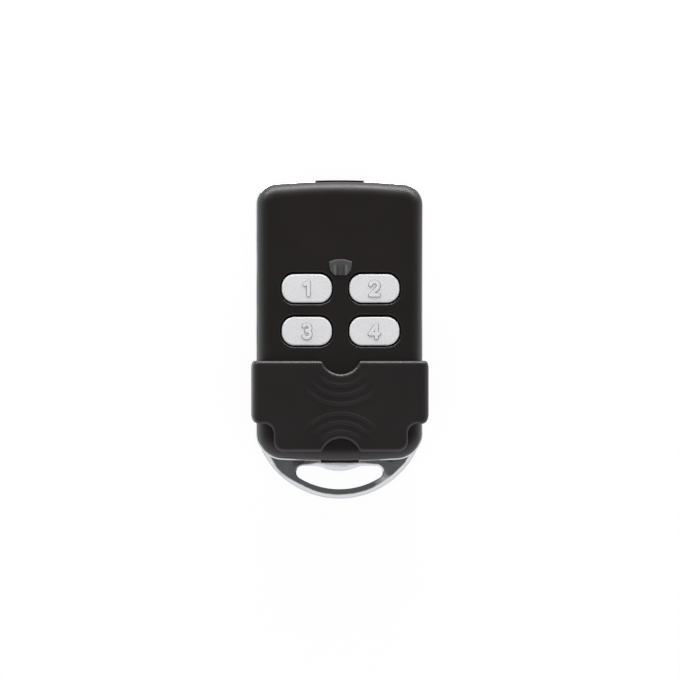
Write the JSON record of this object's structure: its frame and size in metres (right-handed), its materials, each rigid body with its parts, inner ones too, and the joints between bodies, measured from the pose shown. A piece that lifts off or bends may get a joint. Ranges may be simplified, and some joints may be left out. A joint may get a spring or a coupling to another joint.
{
  "type": "gate remote control",
  "caption": "Key-ring gate remote: two black shells on a plated rim with a key loop, numbered silver buttons, a status lens, and a cover that slides up over the buttons.",
  "frame": {"origin": "centre of the footprint, on the surface that the back of the remote lies on", "axes": "+Z out of the front face, +Y along the remote to the end away from the key loop, +X to the right as seen from the front"},
  "size_m": [0.0376, 0.068, 0.0136],
  "materials": {
    "shell_black": "fine satin texture",
    "cover_black": "fine satin texture",
    "chrome_plate": "polished",
    "button_silver": "metallic satin paint",
    "lens_smoke": "clear smoked, polished",
    "led_clear": "moulded epoxy",
    "board_green": "solder resist",
    "chip_black": "moulded",
    "tinned_metal": "tinned",
    "resistor_black": "glazed",
    "capacitor_tan": "fired ceramic",
    "switch_black": "moulded",
    "plunger_white": "moulded",
    "battery_jacket": "printed film, satin",
    "nickel_strip": "nickel plate",
    "screw_zinc": "zinc plate"
  },
  "bodies": {
    "case": {"front_shell": "shell_black", "back_shell": "shell_black", "chrome_frame": "chrome_plate", "circuit_board": "board_green", "led_lens": "lens_smoke", "indicator_led": "led_clear", "encoder_chip": "chip_black", "saw_resonator": "tinned_metal", "rf_transistor": "chip_black", "chip_resistors": "resistor_black", "chip_capacitors": "capacitor_tan", "antenna_loop": "tinned_metal", "battery": "battery_jacket", "battery_contact_positive": "nickel_strip", "battery_contact_negative": "nickel_strip", "case_screws": "screw_zinc", "switch_1": "switch_black", "switch_2": "switch_black", "switch_3": "switch_black", "switch_4": "switch_black"},
    "cover": {"slide_cover": "cover_black"},
    "button_body_1": {"button_1": "button_silver", "switch_plunger_1": "plunger_white"},
    "button_body_2": {"button_2": "button_silver", "switch_plunger_2": "plunger_white"},
    "button_body_3": {"button_3": "button_silver", "switch_plunger_3": "plunger_white"},
    "button_body_4": {"button_4": "button_silver", "switch_plunger_4": "plunger_white"}
  },
  "joints": [
    {"name": "cover_slide", "type": "slide", "parent": "case", "child": "cover", "axis": [0, 1, 0], "range_m": [0, 0.021]},
    {"name": "button_press_1", "type": "slide", "parent": "case", "child": "button_body_1", "axis": [0, 0, -1], "range_m": [0, 0.0003], "stiffness_N_per_m": 2000},
    {"name": "button_press_2", "type": "slide", "parent": "case", "child": "button_body_2", "axis": [0, 0, -1], "range_m": [0, 0.0003], "stiffness_N_per_m": 2000},
    {"name": "button_press_3", "type": "slide", "parent": "case", "child": "button_body_3", "axis": [0, 0, -1], "range_m": [0, 0.0003], "stiffness_N_per_m": 2000},
    {"name": "button_press_4", "type": "slide", "parent": "case", "child": "button_body_4", "axis": [0, 0, -1], "range_m": [0, 0.0003], "stiffness_N_per_m": 2000}
  ]
}
